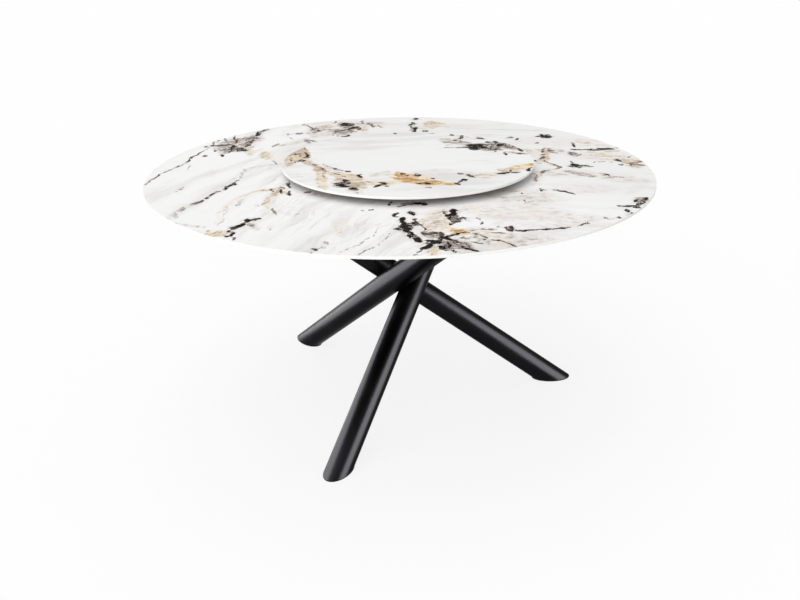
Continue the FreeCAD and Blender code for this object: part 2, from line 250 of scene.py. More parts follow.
class Paint:
    """One material, with a short method for each kind of node that it uses."""

    def __init__(self, name, roughness=0.5, specular=0.5, metallic=0.0):
        self.material = bpy.data.materials.new(name)
        self.material.use_nodes = True
        self.tree = self.material.node_tree
        self.shader = self.tree.nodes["Principled BSDF"]
        self.place = self.node("TexCoord").outputs["Object"]
        self.feed("Roughness", roughness)
        self.feed("Specular IOR Level", specular)
        self.feed("Metallic", metallic)

    def node(self, kind, values=None, **settings):
        """New node with its settings, and a value or a link for each input named."""
        made = self.tree.nodes.new("ShaderNode" + kind)
        for name, setting in settings.items():
            setattr(made, name, setting)
        for name, value in (values or {}).items():
            self.put(made.inputs[name], value)
        return made

    def put(self, socket, value):
        if isinstance(value, bpy.types.NodeSocket):
            self.tree.links.new(value, socket)
        else:
            socket.default_value = value

    def feed(self, name, value):
        self.put(self.shader.inputs[name], value)

    def math(self, operation, *values):
        return self.node("Math", dict(enumerate(values)), operation=operation).outputs[0]

    def times(self, first, second):
        return self.math("MULTIPLY", first, second)

    def vector(self, operation, *values):
        return self.node("VectorMath", dict(enumerate(values)), operation=operation).outputs[0]

    def step(self, value, low, high, start=0.0, end=1.0):
        """Smooth change from start to end while the value goes from low to high."""
        limits = {"Value": value, "From Min": low, "From Max": high, "To Min": start, "To Max": end}
        return self.node("MapRange", limits, interpolation_type="SMOOTHSTEP").outputs[0]

    def blend(self, share, first, second):
        """First colour where share is 0, second where it is 1."""
        return self.node("Mix", {0: share, 6: first, 7: second}, data_type="RGBA").outputs[2]

    def noise(self, place, scale, detail=3.0, roughness=0.5):
        """Noise from 0 to 1 with about scale patches to a metre."""
        values = {"Vector": place, "Scale": scale, "Detail": detail, "Roughness": roughness}
        return self.node("TexNoise", values).outputs[0]

    def crest(self, noise, width):
        """1 along the lines where a noise passes its middle, falling to 0 at width from it."""
        off = self.math("ABSOLUTE", self.math("SUBTRACT", noise, 0.5))
        return self.step(off, 0.0, width, 1.0, 0.0)

    def pushed(self, place, scale, reach):
        """Place moved about by a smooth noise, by up to about half of reach."""
        values = {"Vector": place, "Scale": scale, "Detail": 2.0}
        colour = self.node("TexNoise", values).outputs["Color"]
        push = self.vector("SUBTRACT", colour, (0.5, 0.5, 0.5))
        return self.vector("ADD", place, self.vector("MULTIPLY", push, (reach, reach, reach)))

    def streaked(self, place, bearings, narrowing):
        """Place measured along and across streaks, with the places across them spread apart.

        The streaks' plan bearing, in degrees, turns from the first to the second between the
        left and the right of the table.
        """
        left_to_right = self.node("SeparateXYZ", {0: place}).outputs[0]
        first, last = [-math.radians(bearing) for bearing in bearings]
        turn = self.step(left_to_right, -streak_turn_reach, streak_turn_reach, first, last)
        values = {"Vector": place, "Angle": turn}
        level = self.node("VectorRotate", values, rotation_type="Z_AXIS").outputs[0]
        return self.vector("MULTIPLY", level, (1.0, narrowing, 1.0))

    def field(self, name):
        """Value that the piece's mesh holds at each point."""
        return self.node("Attribute", attribute_name=name).outputs["Fac"]

    def colour(self, share, first, second):
        """Surface colour between two display colours."""
        self.feed("Base Color", self.blend(share, srgb(*first), srgb(*second)))

    def roughness(self, noise, low, high):
        """Roughness from low to high over the middle range of a noise."""
        self.feed("Roughness", self.step(noise, 0.3, 0.7, low, high))

    def bump(self, height, millimetres):
        """Bumps of about this height where the noise goes from 0 to 1."""
        values = {"Height": height, "Distance": millimetres * MM, "Strength": 1.0}
        self.feed("Normal", self.node("Bump", values).outputs["Normal"])


# ---- stone pattern

# The marks are laid out one by one, in millimetres from the table's axis:
# start x, start y, end x, end y, half width, depth of colour. These are the dark ones
top_ink = (
    # back left
    (-466, 592, -474, 552, 9, .5), (-473, 556, -490, 530, 8, .45), (-491, 545, -486, 478, 9, .8),
    (-495, 472, -489, 425, 16, .5), (-512, 455, -475, 448, 9, .35), (-490, 425, -486, 400, 7, .2),
    (-497, 400, -493, 370, 6, .3), (-512, 380, -503, 362, 6, .2), (-497, 358, -501, 325, 7, .5),
    (-514, 308, -500, 270, 10, .6), (-592, 350, -552, 352, 9, .45), (-578, 345, -548, 300, 17, .5),
    (-553, 352, -546, 300, 7, .6), (-628, 352, -592, 336, 8, .35), (-615, 425, -612, 398, 5, .2),
    (-626, 402, -621, 352, 5, .2), (-552, 296, -544, 262, 6, .45), (-588, 300, -596, 262, 6, .2),
    (-586, 285, -560, 292, 7, .15), (-535, 335, -525, 280, 5, .25), (-527, 288, -522, 262, 5, .35),
    (-640, 345, -645, 325, 5, .15), (-566, 490, -556, 425, 5, .3), (-598, 450, -580, 400, 5, .12),
    (-552, 420, -548, 380, 5, .2), (-328, 642, -314, 600, 5, .35), (-314, 604, -303, 575, 5, .2),
    (-304, 580, -272, 540, 6, .22), (-300, 520, -288, 518, 7, .3), (-352, 495, -332, 512, 11, .12),
    (-388, 515, -378, 480, 4, .1), (-376, 480, -360, 420, 4, .07), (-310, 425, -300, 362, 14, .55),
    (-292, 400, -276, 385, 8, .4), (-330, 385, -310, 358, 14, .1), (-413, 312, -396, 362, 7, .1),
    (-345, 655, -338, 640, 10, .1),
    # long brown vein down the left side
    (-620, 352, -628, 318, 4.5, .4), (-628, 325, -641, 262, 4.5, .35), (-641, 268, -654, 212, 5, .3),
    (-655, 220, -661, 165, 5, .45), (-660, 170, -665, 110, 4.5, .3), (-664, 115, -686, 62, 4.5, .18),
    (-684, 68, -701, 25, 4, .15), (-700, 32, -714, -8, 4, .2), (-712, 5, -726, -70, 4.5, .22),
    (-724, -60, -738, -125, 4, .1),
    # left middle
    (-625, 215, -615, 200, 10, .25), (-567, 225, -562, 195, 7, .6), (-552, 262, -550, 240, 5, .4),
    (-398, 150, -375, 90, 4, .1), (-474, -112, -480, -145, 8, .7), (-483, -140, -490, -170, 9, .7),
    (-488, -165, -498, -195, 7, .3), (-505, -200, -516, -215, 8, .6), (-516, -210, -526, -240, 7, .35),
    (-528, -240, -528, -275, 6, .22), (-535, -285, -545, -310, 8, .2), (-470, -100, -462, -80, 5, .2),
    (-555, -305, -560, -325, 8, .15), (-580, -345, -575, -385, 8, .1), (-590, -390, -575, -450, 6, .05),
    (-575, 40, -570, 0, 20, .04), (-648, 100, -645, 20, 4, .08), (-620, -150, -628, -200, 5, .07),
    (-470, 40, -465, -60, 8, .05), (-320, -110, -305, -170, 5, .3), (-340, -160, -320, -180, 5, .2),
    (-330, -190, -322, -235, 4, .4), (-305, -200, -302, -250, 4, .3), (-365, -180, -350, -215, 4, .25),
    (-262, -225, -245, -215, 8, .4),
    # front left
    (-358, -450, -385, -470, 9, .9), (-390, -460, -385, -480, 8, 1), (-395, -485, -400, -500, 7, 1),
    (-402, -500, -414, -540, 7, 1), (-418, -548, -423, -558, 6, .9), (-410, -560, -416, -590, 5, .9),
    (-425, -585, -422, -595, 5, .8), (-405, -600, -402, -620, 5, .2), (-335, -360, -318, -425, 5, .12),
    (-425, -280, -435, -340, 8, .06), (-380, -330, -375, -345, 6, .15), (-460, -330, -455, -400, 4, .05),
    (-455, -400, -457, -510, 4, .06), (-265, -425, -245, -400, 4, .08), (-325, -510, -322, -550, 5, .05),
    (-198, -688, -192, -695, 8, .35), (-200, -700, -204, -720, 4, .2), (-182, -678, -178, -688, 5, .12),
    (-180, -640, -175, -665, 6, .08),
    # back middle
    (-228, 700, -227, 672, 7, .25), (-192, 668, -186, 618, 14, .8), (-176, 660, -170, 620, 14, .75),
    (-200, 640, -160, 632, 14, .6), (-140, 605, -134, 555, 9, .5), (-145, 596, -172, 572, 11, .6),
    (-168, 576, -190, 555, 9, .45), (-188, 556, -215, 530, 7, .3), (-212, 536, -222, 500, 6, .2),
    (-222, 505, -223, 470, 5, .15), (-212, 458, -175, 450, 6, .15), (-185, 452, -165, 462, 7, .35),
    (-170, 478, -166, 458, 7, .7), (-127, 700, -122, 650, 6, .25), (-100, 655, -97, 612, 8, .4),
    (-112, 650, -104, 640, 5, .2), (-70, 625, -66, 600, 5, .2), (-64, 600, -55, 578, 5, .25),
    (-92, 615, -88, 585, 5, .12), (66, 735, 65, 702, 10, .6), (55, 660, 57, 625, 6, .7),
    (52, 635, 47, 600, 6, .6), (48, 605, 48, 575, 5, .4), (62, 580, 60, 545, 7, .7),
    (50, 560, 52, 510, 7, .35), (60, 545, 58, 505, 8, .5), (62, 523, 106, 522, 14, .22),
    (93, 532, 93, 510, 5, .35), (103, 530, 103, 508, 5, .4),
    # back right
    (378, 410, 375, 390, 10, .12), (402, 385, 400, 370, 8, .4), (462, 415, 478, 412, 8, .3),
    (490, 440, 494, 400, 12, .75), (515, 432, 508, 395, 12, .65), (484, 402, 512, 396, 12, .7),
    (460, 330, 458, 312, 7, .1), (578, 318, 572, 262, 5, .4),
    # right
    (470, 240, 456, 190, 5, .2), (462, 190, 452, 120, 5, .2), (490, 248, 476, 215, 4, .2),
    (503, 224, 484, 212, 4, .18), (452, 100, 462, 70, 4, .2), (480, 225, 455, 120, 14, .4),
    (455, 120, 425, 60, 12, .35), (690, 75, 718, 20, 14, .3),
    (556, 232, 600, 222, 8, .35), (595, 225, 650, 220, 10, .5), (628, 226, 670, 224, 9, .9),
    (640, 238, 690, 236, 5, .5), (665, 235, 688, 222, 9, .9), (698, 240, 712, 236, 6, .15),
    (528, 82, 533, 62, 5, .35), (520, 25, 545, 20, 12, 1), (530, 50, 548, 15, 13, .8),
    (548, 30, 575, 22, 9, .6), (570, 20, 585, 15, 6, .4), (548, 18, 548, 2, 8, .6),
    (592, 60, 605, 70, 3.5, .12), (605, 70, 640, 72, 3.5, .12), (640, 68, 660, 60, 4, .15),
    (672, 95, 680, 65, 8, .4), (705, 50, 700, 20, 5, .3), (720, 60, 740, 65, 6, .3),
    (674, 40, 670, 25, 6, .2), (712, 115, 730, 135, 5, .12), (605, -70, 612, -82, 7, .35),
    (612, -82, 620, -100, 5, .3), (595, -70, 608, -72, 5, .15), (620, -98, 645, -112, 7, .08),
    (540, 150, 560, 130, 14, .12), (575, 170, 565, 155, 9, .1), (446, 140, 438, 110, 4, .25),
    (428, 100, 425, 85, 5, .2), (460, 75, 478, 50, 5, .1), (478, 50, 487, 10, 6, .22),
    (486, 12, 470, -10, 5, .12), (465, -15, 430, -30, 5, .1), (432, -25, 420, -60, 6, .15),
    (425, -45, 415, -85, 4, .2), (404, -75, 395, -140, 6, .12), (405, -70, 402, -90, 4, .25),
    (398, -215, 395, -235, 6, .6), (405, -218, 430, -222, 4, .15), (430, -222, 448, -230, 5, .3),
    (445, -232, 470, -250, 5, .25), (460, -240, 485, -272, 4, .3), (344, -248, 338, -262, 5, .4),
    (485, 215, 505, 185, 8, .12),
    # front right
    (630, -350, 668, -310, 14, .3), (640, -325, 627, -350, 4, .7), (650, -305, 640, -325, 4, .6),
    (672, -305, 662, -330, 8, .7), (655, -335, 650, -362, 5, .5), (630, -360, 650, -363, 5, 1),
    (632, -358, 628, -375, 5, .8), (615, -380, 600, -390, 8, .85), (600, -388, 580, -385, 5, .5),
    (580, -378, 580, -390, 4, .35), (612, -400, 632, -402, 5, .7), (618, -390, 635, -375, 7, .3),
    (596, -415, 592, -435, 7, .3), (600, -440, 597, -452, 4, .3), (660, -270, 670, -290, 14, .08),
    (565, -478, 560, -490, 8, .2), (522, -477, 524, -488, 6, .25), (527, -492, 540, -495, 5, .1),
    (475, -520, 480, -512, 4, .15), (478, -525, 462, -530, 4, .3), (460, -532, 445, -548, 4, .25),
    (422, -552, 380, -566, 6, .7), (395, -562, 345, -572, 5, .6), (350, -570, 290, -573, 6, .6),
    (280, -545, 278, -567, 7, 1), (272, -545, 276, -580, 9, .2),
    (250, -538, 246, -542, 5, .25), (255, -545, 270, -550, 5, .15), (240, -640, 250, -660, 5, .4),
    (250, -658, 272, -695, 4, .5), (345, -322, 342, -330, 7, .25), (350, -345, 340, -350, 7, .2),
    # front cluster
    (15, -340, 35, -335, 12, .6), (35, -330, 75, -345, 12, .6), (-22, -320, -20, -355, 5, .3),
    (5, -365, 20, -350, 6, .2), (-5, -418, -10, -440, 7, .35), (-8, -448, 5, -450, 4, .3),
    (32, -410, 35, -440, 10, .8), (12, -460, 10, -505, 8, .9), (14, -455, 18, -480, 5, .6),
    (12, -510, 15, -550, 12, 1), (0, -545, 25, -560, 12, .9), (-12, -555, 10, -560, 6, .9),
    (20, -530, 28, -560, 9, .9), (15, -560, 25, -585, 8, .9), (42, -500, 40, -525, 8, 1),
    (42, -470, 50, -500, 4, .6), (50, -500, 58, -530, 4, .7), (58, -530, 66, -560, 3, .45),
    (66, -560, 60, -580, 3, .4), (60, -580, 65, -600, 4, .35), (30, -575, 38, -605, 6, .9),
    (20, -585, 28, -620, 4, .6), (38, -605, 55, -650, 10, .95), (65, -590, 105, -585, 10, .3),
    (100, -580, 102, -610, 7, .4), (60, -610, 100, -640, 16, .4), (75, -640, 95, -655, 12, .85),
    (85, -650, 70, -680, 10, .9), (72, -675, 58, -705, 9, .8), (58, -705, 48, -720, 4, .3),
    (100, -625, 118, -620, 7, .8), (105, -615, 132, -640, 7, .8), (130, -638, 145, -655, 5, .6),
    (98, -645, 102, -625, 6, .7), (118, -610, 142, -598, 7, .85), (155, -615, 160, -630, 6, .5),
    (150, -625, 165, -632, 6, .5), (170, -615, 205, -635, 6, .25), (110, -650, 160, -690, 28, .22),
    (120, -655, 122, -690, 5, .5), (95, -680, 110, -712, 10, .7), (110, -690, 135, -725, 5, .5),
    (130, -700, 132, -730, 4, .5), (150, -690, 185, -720, 7, .85), (150, -680, 155, -695, 5, .5),
    (117, -405, 122, -440, 5, .9), (122, -440, 135, -490, 6, .9), (143, -395, 147, -430, 10, .9),
    (140, -425, 155, -455, 7, .7), (150, -450, 148, -500, 8, .8), (135, -440, 142, -490, 11, .6),
    (135, -495, 150, -495, 10, .9), (135, -510, 130, -525, 6, .3), (160, -468, 172, -468, 8, 1),
    (168, -482, 185, -500, 2.5, .3), (200, -470, 210, -490, 4, .12), (213, -500, 208, -525, 4, .15),
    (222, -640, 240, -650, 6, .3), (142, -588, 168, -584, 5, .5), (168, -584, 196, -600, 4, .45),
    (196, -600, 216, -626, 4, .35), (180, -628, 205, -640, 3.5, .3), (205, -560, 232, -566, 4, .2),
    (228, -585, 262, -600, 4, .2), (172, -655, 200, -668, 3.5, .3), (196, -560, 180, -575, 5, .15),
    # faint diagonals and flecks at the front
    (-50, -550, -70, -610, 3, .1), (-70, -610, -100, -670, 3, .1), (-100, -670, -135, -720, 3, .08),
    (-15, -580, -30, -620, 3, .15), (-30, -620, -45, -670, 3, .15), (-60, -680, -100, -740, 3, .13),
    (48, -730, 35, -745, 5, .08), (-72, -385, -68, -388, 7, .45), (-95, -392, -92, -398, 7, .2),
)

# Gold, tan and mauve stains, in the same form
top_gold = (
    (478, 215, 462, 150, 10, .35), (462, 155, 450, 75, 12, .35), (135, -560, 165, -590, 22, .8),
    (120, -540, 150, -600, 24, .4), (80, -700, 85, -730, 10, .4), (35, -450, 38, -480, 7, .35),
    (190, -350, 195, -410, 10, .3), (690, 80, 710, 30, 12, .4), (-425, 235, -415, 180, 10, .4),
    (-352, -200, -345, -240, 9, .2), (-362, -280, -352, -340, 8, .2), (-480, -585, -430, -570, 12, .4),
)
top_tan = (
    # left
    (-664, 115, -686, 62, 8, .5), (-684, 68, -714, -8, 8, .6), (-714, -8, -738, -125, 8, .6),
    (-505, 330, -472, 210, 20, .55), (-480, 200, -445, 300, 14, .4), (-432, 260, -415, 160, 22, .65),
    (-412, 190, -380, 120, 12, .45), (-550, 320, -515, 430, 18, .4), (-400, -200, -455, -290, 11, .55),
    (-455, -290, -470, -400, 11, .45), (-470, -400, -465, -500, 8, .35), (-345, -170, -348, -250, 15, .75),
    (-350, -240, -362, -330, 13, .75), (-355, -340, -322, -400, 9, .45), (-322, -400, -352, -440, 8, .35),
    (-330, -180, -305, -235, 10, .7), (-400, -200, -345, -180, 12, .7), (-485, -590, -425, -560, 24, .8),
    (-500, -560, -470, -545, 12, .5), (-155, -530, -140, -610, 14, .4), (-150, -480, -120, -520, 12, .25),
    # back
    (125, 575, 125, 665, 42, .7), (155, 640, 182, 575, 18, .6), (-115, 620, -118, 520, 14, .7),
    (-250, 640, -250, 560, 42, .5), (62, 680, 100, 560, 16, .3), (-70, 640, -60, 590, 12, .4),
    # right
    (440, 240, 475, 205, 12, .7), (478, 215, 450, 75, 13, .85), (502, 255, 480, 190, 14, .8),
    (418, 262, 428, 205, 8, .6),
    (485, 258, 455, 150, 20, .5), (455, 155, 450, 70, 22, .6), (458, 60, 484, 20, 8, .8),
    (484, 20, 474, -15, 6, .7), (470, -20, 430, -45, 6, .5), (422, -60, 410, -120, 9, .5),
    (405, -120, 398, -180, 8, .4), (600, 360, 680, 330, 16, .5), (615, 270, 630, 345, 22, .5),
    (610, 200, 660, 130, 26, .6), (560, 130, 600, 185, 20, .4), (680, 95, 740, 62, 26, .9),
    (688, 25, 722, -5, 16, .7), (690, 180, 715, 150, 14, .4),
    # front
    (110, -390, 100, -520, 32, .5), (62, -480, 90, -580, 20, .6), (190, -400, 212, -470, 12, .4),
    (200, -580, 250, -620, 24, .5), (232, -685, 262, -640, 20, .5), (335, -375, 350, -470, 36, .35),
    (262, -400, 250, -470, 24, .3), (400, -280, 445, -330, 20, .25), (70, -660, 80, -740, 18, .6),
)
top_mauve = (
    # left
    (-560, 290, -500, 460, 55, .8), (-600, 300, -565, 430, 30, .6), (-570, 235, -540, 300, 24, .6),
    (-500, 480, -480, 400, 34, .6), (-520, 255, -490, 340, 24, .6), (-370, 100, -440, 62, 12, .45),
    (-345, -180, -352, -330, 22, .4),
    (-440, 60, -475, 0, 12, .45), (-475, 0, -485, -70, 11, .35), (-560, 30, -572, -20, 16, .3),
    (-400, 330, -305, 400, 16, .45), (-380, -490, -370, -515, 16, .8), (-380, -480, -352, -545, 18, .4),
    (-490, -520, -600, -470, 8, .45), (-600, -462, -590, -390, 10, .4), (-280, -430, -322, -380, 12, .3),
    (-252, -212, -205, -262, 20, .5), (-150, -470, -138, -600, 24, .3), (-535, -280, -595, -400, 12, .5),
    # broad haze at the right and the back
    (420, -40, 560, -60, 50, .4), (560, 150, 720, 110, 60, .4), (590, -80, 700, -150, 50, .4),
    (450, -180, 600, -240, 60, .3), (250, -260, 420, -310, 70, .45), (200, -400, 420, -450, 80, .4),
    (180, -640, 360, -650, 60, .45), (330, -540, 500, -480, 60, .35), (400, 380, 620, 300, 70, .3),
    (-320, 640, -60, 640, 60, .45), (-300, 520, -120, 500, 60, .45), (100, 620, 260, 560, 50, .3),
    # back
    (-335, 640, -282, 560, 16, .5), (-290, 540, -250, 630, 40, .75), (-200, 480, -165, 550, 34, .85),
    (-200, 660, -160, 570, 34, .85), (-250, 560, -150, 520, 32, .75), (-140, 600, -62, 620, 24, .6),
    (-130, 700, -55, 600, 20, .4), (-300, 560, -285, 450, 18, .4), (-305, 530, -420, 480, 9, .35),
    (60, 600, 112, 540, 20, .5), (-400, 560, -380, 440, 14, .25),
    # right
    (545, 190, 562, 145, 20, .8), (500, 240, 522, 200, 18, .6), (595, 340, 680, 262, 20, .5),
    (640, 190, 702, 200, 20, .5), (690, 62, 742, 20, 20, .8), (592, -60, 622, -112, 16, .7),
    (495, -30, 570, -95, 20, .7),
    (402, -30, 390, -150, 10, .5), (412, -60, 380, -182, 14, .35), (500, 330, 545, 290, 16, .3),
    (400, 250, 420, 190, 14, .5), (440, 110, 425, 60, 14, .4), (640, -345, 662, -312, 22, .9),
    (600, -430, 590, -470, 12, .4), (620, -280, 690, -180, 24, .3),
    # front
    (68, -582, 100, -615, 24, .85), (92, -430, 110, -545, 36, .5),
    (110, -650, 160, -690, 34, .9), (135, -450, 140, -480, 18, .9), (20, -520, 45, -640, 40, .3),
    (180, -600, 272, -682, 34, .5), (302, -650, 430, -600, 28, .25), (160, -570, 235, -560, 24, .45),
    (240, -520, 330, -500, 24, .3), (255, -460, 320, -420, 20, .3), (120, -380, 100, -560, 40, .3),
    (300, -210, 352, -282, 28, .45), (250, -222, 330, -235, 12, .5), (332, -280, 350, -420, 34, .4),
    (420, -300, 380, -362, 22, .3),
    (242, -330, 262, -420, 28, .3), (300, -480, 280, -540, 20, .3), (420, -420, 440, -500, 20, .2),
)

susan_ink = (
    # thin brown veins in the tan at the left
    (-318, 125, -311, 70, 5, .14), (-325, 65, -318, 5, 4, .16), (-303, 100, -298, 62, 4, .14),
    (-312, 30, -300, -15, 5, .12), (-268, -5, -240, -52, 5, .14), (-232, -62, -206, -118, 5, .14),
    (-216, -130, -212, -190, 4, .12), (-186, -128, -150, -168, 5, .14), (-100, -215, -70, -232, 5, .12),
    # front and sides
    (-298, 190, -293, 150, 3, .2), (-288, 110, -275, 60, 5, .4), (-285, 58, -272, 52, 9, .6),
    (-303, 20, -280, 15, 8, .45), (-293, 25, -290, 5, 6, .4), (-115, -155, -108, -180, 8, .4),
    (-105, -145, -108, -155, 5, .5), (-183, -75, -180, -90, 5, .35), (-150, -105, -143, -118, 7, .45),
    (-220, -25, -190, -70, 5, .12), (-180, -88, -155, -105, 3.5, .2), (-170, -240, -135, -235, 12, .8),
    (-165, -250, -140, -270, 14, 1), (-150, -200, -142, -230, 9, .5), (-130, -290, -110, -305, 10, .9),
    (-125, -280, -118, -300, 8, .6), (-118, -315, -108, -335, 6, .12), (-45, -232, -35, -255, 8, .9),
    (-45, -255, -65, -278, 7, .9), (-35, -270, -28, -275, 6, .6), (10, -140, 18, -160, 8, .5),
    (50, -140, 58, -175, 7, .5), (30, -165, 30, -175, 6, .4), (60, -245, 85, -252, 9, .6),
    (95, -200, 100, -205, 7, .5), (80, -285, 83, -295, 7, .5), (158, -245, 165, -265, 7, .95),
    (180, -215, 187, -228, 6, .7), (165, -240, 180, -225, 3.5, .4), (200, -180, 215, -190, 9, .95),
    (195, -165, 205, -180, 7, .7), (170, -155, 185, -158, 8, .15), (285, -165, 300, -150, 8, .9),
    (300, -148, 325, -145, 6, .7), (330, -152, 345, -148, 6, .8), (365, -130, 378, -120, 7, .7),
    (375, -115, 385, -100, 5, .5), (320, -135, 325, -120, 5, .3), (110, -110, 130, -115, 12, .08),
    # back right
    (181, 336, 179, 312, 9, .45), (213, 317, 207, 283, 6, .25), (211, 288, 199, 270, 7, .45),
    (192, 273, 187, 240, 7, .2), (187, 249, 173, 196, 14, .45), (139, 230, 178, 225, 10, .1),
    (159, 187, 163, 201, 8, .1), (204, 249, 202, 225, 4, .2), (146, 155, 235, 150, 6, .25),
    (115, 352, 118, 341, 7, .35), (-6, 366, -5, 350, 6, .25), (231, 189, 242, 141, 18, 1),
    (235, 195, 237, 120, 15, 1), (258, 195, 265, 168, 12, .95), (252, 177, 274, 141, 12, .8),
    (279, 163, 317, 115, 22, .4), (322, 189, 317, 168, 10, 1), (336, 196, 312, 177, 8, .5),
    (309, 163, 332, 158, 12, .5), (365, 147, 357, 115, 14, .45), (375, 129, 380, 96, 8, .4),
    (288, 225, 286, 206, 8, .15), (315, 230, 312, 206, 9, .35), (261, 285, 275, 266, 12, .6),
    (306, 129, 300, 96, 6, .35), (286, 134, 288, 112, 5, .3), (327, 76, 331, 48, 6, .35),
    (363, 72, 375, 68, 8, .5),
)
susan_gold = (
    (0, -130, 20, -190, 22, .9), (-5, -190, 60, -230, 30, 1), (50, -220, 110, -255, 30, 1),
    (100, -240, 155, -265, 18, .8), (330, -110, 395, -60, 20, .7), (380, -80, 395, -50, 8, .9),
    (-225, -110, -205, -300, 12, .4), (-70, -250, -20, -240, 25, .4), (-300, 40, -282, 10, 14, .6),
    (-322, 0, -312, 90, 14, .5), (-170, -150, -120, -190, 16, .4), (30, -150, 55, -185, 14, .8),
)
susan_tan = (
    (-325, -35, -311, 140, 28, .9), (-300, 170, -280, 20, 18, .9), (-285, 20, -235, -65, 18, .8),
    (-240, -60, -215, -130, 22, .9), (-225, -110, -205, -300, 18, .7), (-200, -110, -130, -180, 30, .7),
    (-140, -150, -108, -200, 20, .8), (-160, -190, -100, -285, 40, .8), (-70, -250, -20, -240, 30, .7),
    (-110, -210, -40, -235, 22, .5), (215, -165, 270, -190, 24, .6), (290, -120, 340, -130, 24, .8),
    (330, -110, 395, -60, 28, .7), (-30, -150, -5, -190, 18, .5), (60, -170, 90, -200, 18, .4),
)
susan_mauve = (
    (-170, -240, -140, -270, 28, .8), (190, -180, 300, -160, 26, .4), (240, 187, 307, 129, 44, .9),
    (150, 262, 222, 200, 36, .6), (180, 330, 232, 280, 18, .4), (300, 200, 385, 130, 34, .85),
    (330, 90, 392, 60, 14, .7), (260, 120, 332, 62, 18, .3), (-30, -120, -72, -170, 18, .4),
    (-320, 160, -300, 60, 18, .5), (100, -110, 152, -122, 22, .35), (200, -150, 232, -200, 18, .4),
    (-215, -60, -160, -110, 14, .5), (-130, -290, -100, -330, 18, .4), (60, -330, 140, -340, 16, .2),
    (270, 290, 330, 240, 20, .3),
)


def wander(x, y, seed):
    """Smooth sideways push in mm at each point, so that straight marks run unevenly.

    Each of wander_sizes is a few sine waves of about its wavelength, each along its own random
    bearing and with its own phase, added up to about its reach.
    """
    draw = np.random.default_rng(seed)
    push = np.zeros((2, *x.shape))
    for wavelength, reach in wander_sizes:
        for _ in range(wave_count):
            bearing, phase, aim = draw.uniform(0, 2 * math.pi, 3)
            wave = 2 * math.pi / (wavelength * draw.uniform(0.7, 1.4))
            height = np.sin(wave * (x * math.cos(bearing) + y * math.sin(bearing)) + phase)
            push[0] += height * math.cos(aim) * reach * 2 / wave_count
            push[1] += height * math.sin(aim) * reach * 2 / wave_count
    return push


def across_mark(x, y, mark):
    """Signed distance across one mark at each point, and the mark's half width there, in mm.

    The half width falls by a third from the middle to the ends, and past an end it goes on
    falling by the overrun, so that it is below zero where the mark is over.
    """
    start_x, start_y, end_x, end_y, half_width, _ = mark
    half = math.hypot(end_x - start_x, end_y - start_y) / 2
    way_x, way_y = (end_x - start_x) / (2 * half), (end_y - start_y) / (2 * half)
    from_x, from_y = x - (start_x + end_x) / 2, y - (start_y + end_y) / 2
    along = from_x * way_x + from_y * way_y
    share = np.clip(along / half, -1, 1)
    overrun = np.maximum(np.abs(along) - half, 0)
    return from_x * way_y - from_y * way_x, half_width * (1 - share**2 / 3) - overrun


def ink_fields(x, y, marks):
    """Fields of the dark marks, from the mark that each point is furthest inside.

    They are that mark's signed distance across and half width, how far inside it the point is
    in mm (-40 or more), and the depth of colour blended from the marks around.
    """
    across, width = np.zeros(x.shape), np.zeros(x.shape)
    nearest = np.full(x.shape, -40.0)
    weights, depths = np.full(x.shape, 1e-9), np.zeros(x.shape)
    for mark in marks:
        this_across, this_width = across_mark(x, y, mark)
        inside = this_width - np.abs(this_across)
        closer = inside > nearest
        across = np.where(closer, this_across, across)
        width = np.where(closer, this_width, width)
        nearest = np.where(closer, inside, nearest)
        weight = np.exp(np.clip(inside / blend_length, -20, 20))
        weights += weight
        depths += weight * mark[5] ** depth_power
    return {"ink_across": across, "ink_width": width, "ink": nearest, "ink_depth": depths / weights}


def stain_field(x, y, marks):
    """Strength of the strongest stain at each point, fading out past its half width."""
    strongest = np.zeros(x.shape)
    for mark in marks:
        across, width = across_mark(x, y, mark)
        rise = np.clip((width - np.abs(across)) / mark[4] + 0.5, 0, 1)
        strongest = np.maximum(strongest, mark[5] * rise * rise * (3 - 2 * rise))
    return strongest


def pattern(ink, stains, seed):
    """Function that gives the fields of a pattern of marks over a slab.

    Broad pale marks are haze, and so is a margin round each of the other dark marks.
    """
    hazes = [mark for mark in ink if mark[4] >= broad_mark and mark[5] < pale_mark]
    lines = [mark for mark in ink if mark not in hazes]
    margins = [
        (*mark[:4], mark[4] * margin_factor + margin_width, mark[5] * margin_depth) for mark in lines
    ]

    def fields(x, y):
        x, y = np.stack([x, y]) + wander(x, y, seed)
        pale = {"haze": hazes + margins, **stains}
        return {**ink_fields(x, y, lines), **{name: stain_field(x, y, pale[name]) for name in pale}}
    return fields


# ---- stone slabs

def disc_grid(count):
    """Even points over a disc of radius 1, row by row.

    Each point of a square keeps its ring: the larger of its two coordinates becomes the radius,
    and its place along that side of the square becomes the angle within that quarter turn.
    """
    line = np.linspace(-1, 1, count + 1)
    u, v = np.meshgrid(line, line)
    wide = np.abs(u) > np.abs(v)
    radius = np.where(wide, u, v)
    safe = np.where(radius == 0, 1, radius)
    turn = np.where(wide, v, u) / safe * math.pi / 4
    angle = np.where(wide, turn, math.pi / 2 - turn)
    return radius * np.cos(angle), radius * np.sin(angle)


def slab_profile(radius, bottom, top, undercut_width):
    """Rings from the face down, as (radius, level): quarter-round arris, rim, undercut, back."""
    turns = np.radians([0, 30, 60, 90])
    arc = [(radius - arris * (1 - math.sin(t)), top - arris * (1 - math.cos(t))) for t in turns]
    back = radius - undercut_width
    return [*arc, (radius, top - rim_height), (back, bottom), (back - support_ring, bottom)]


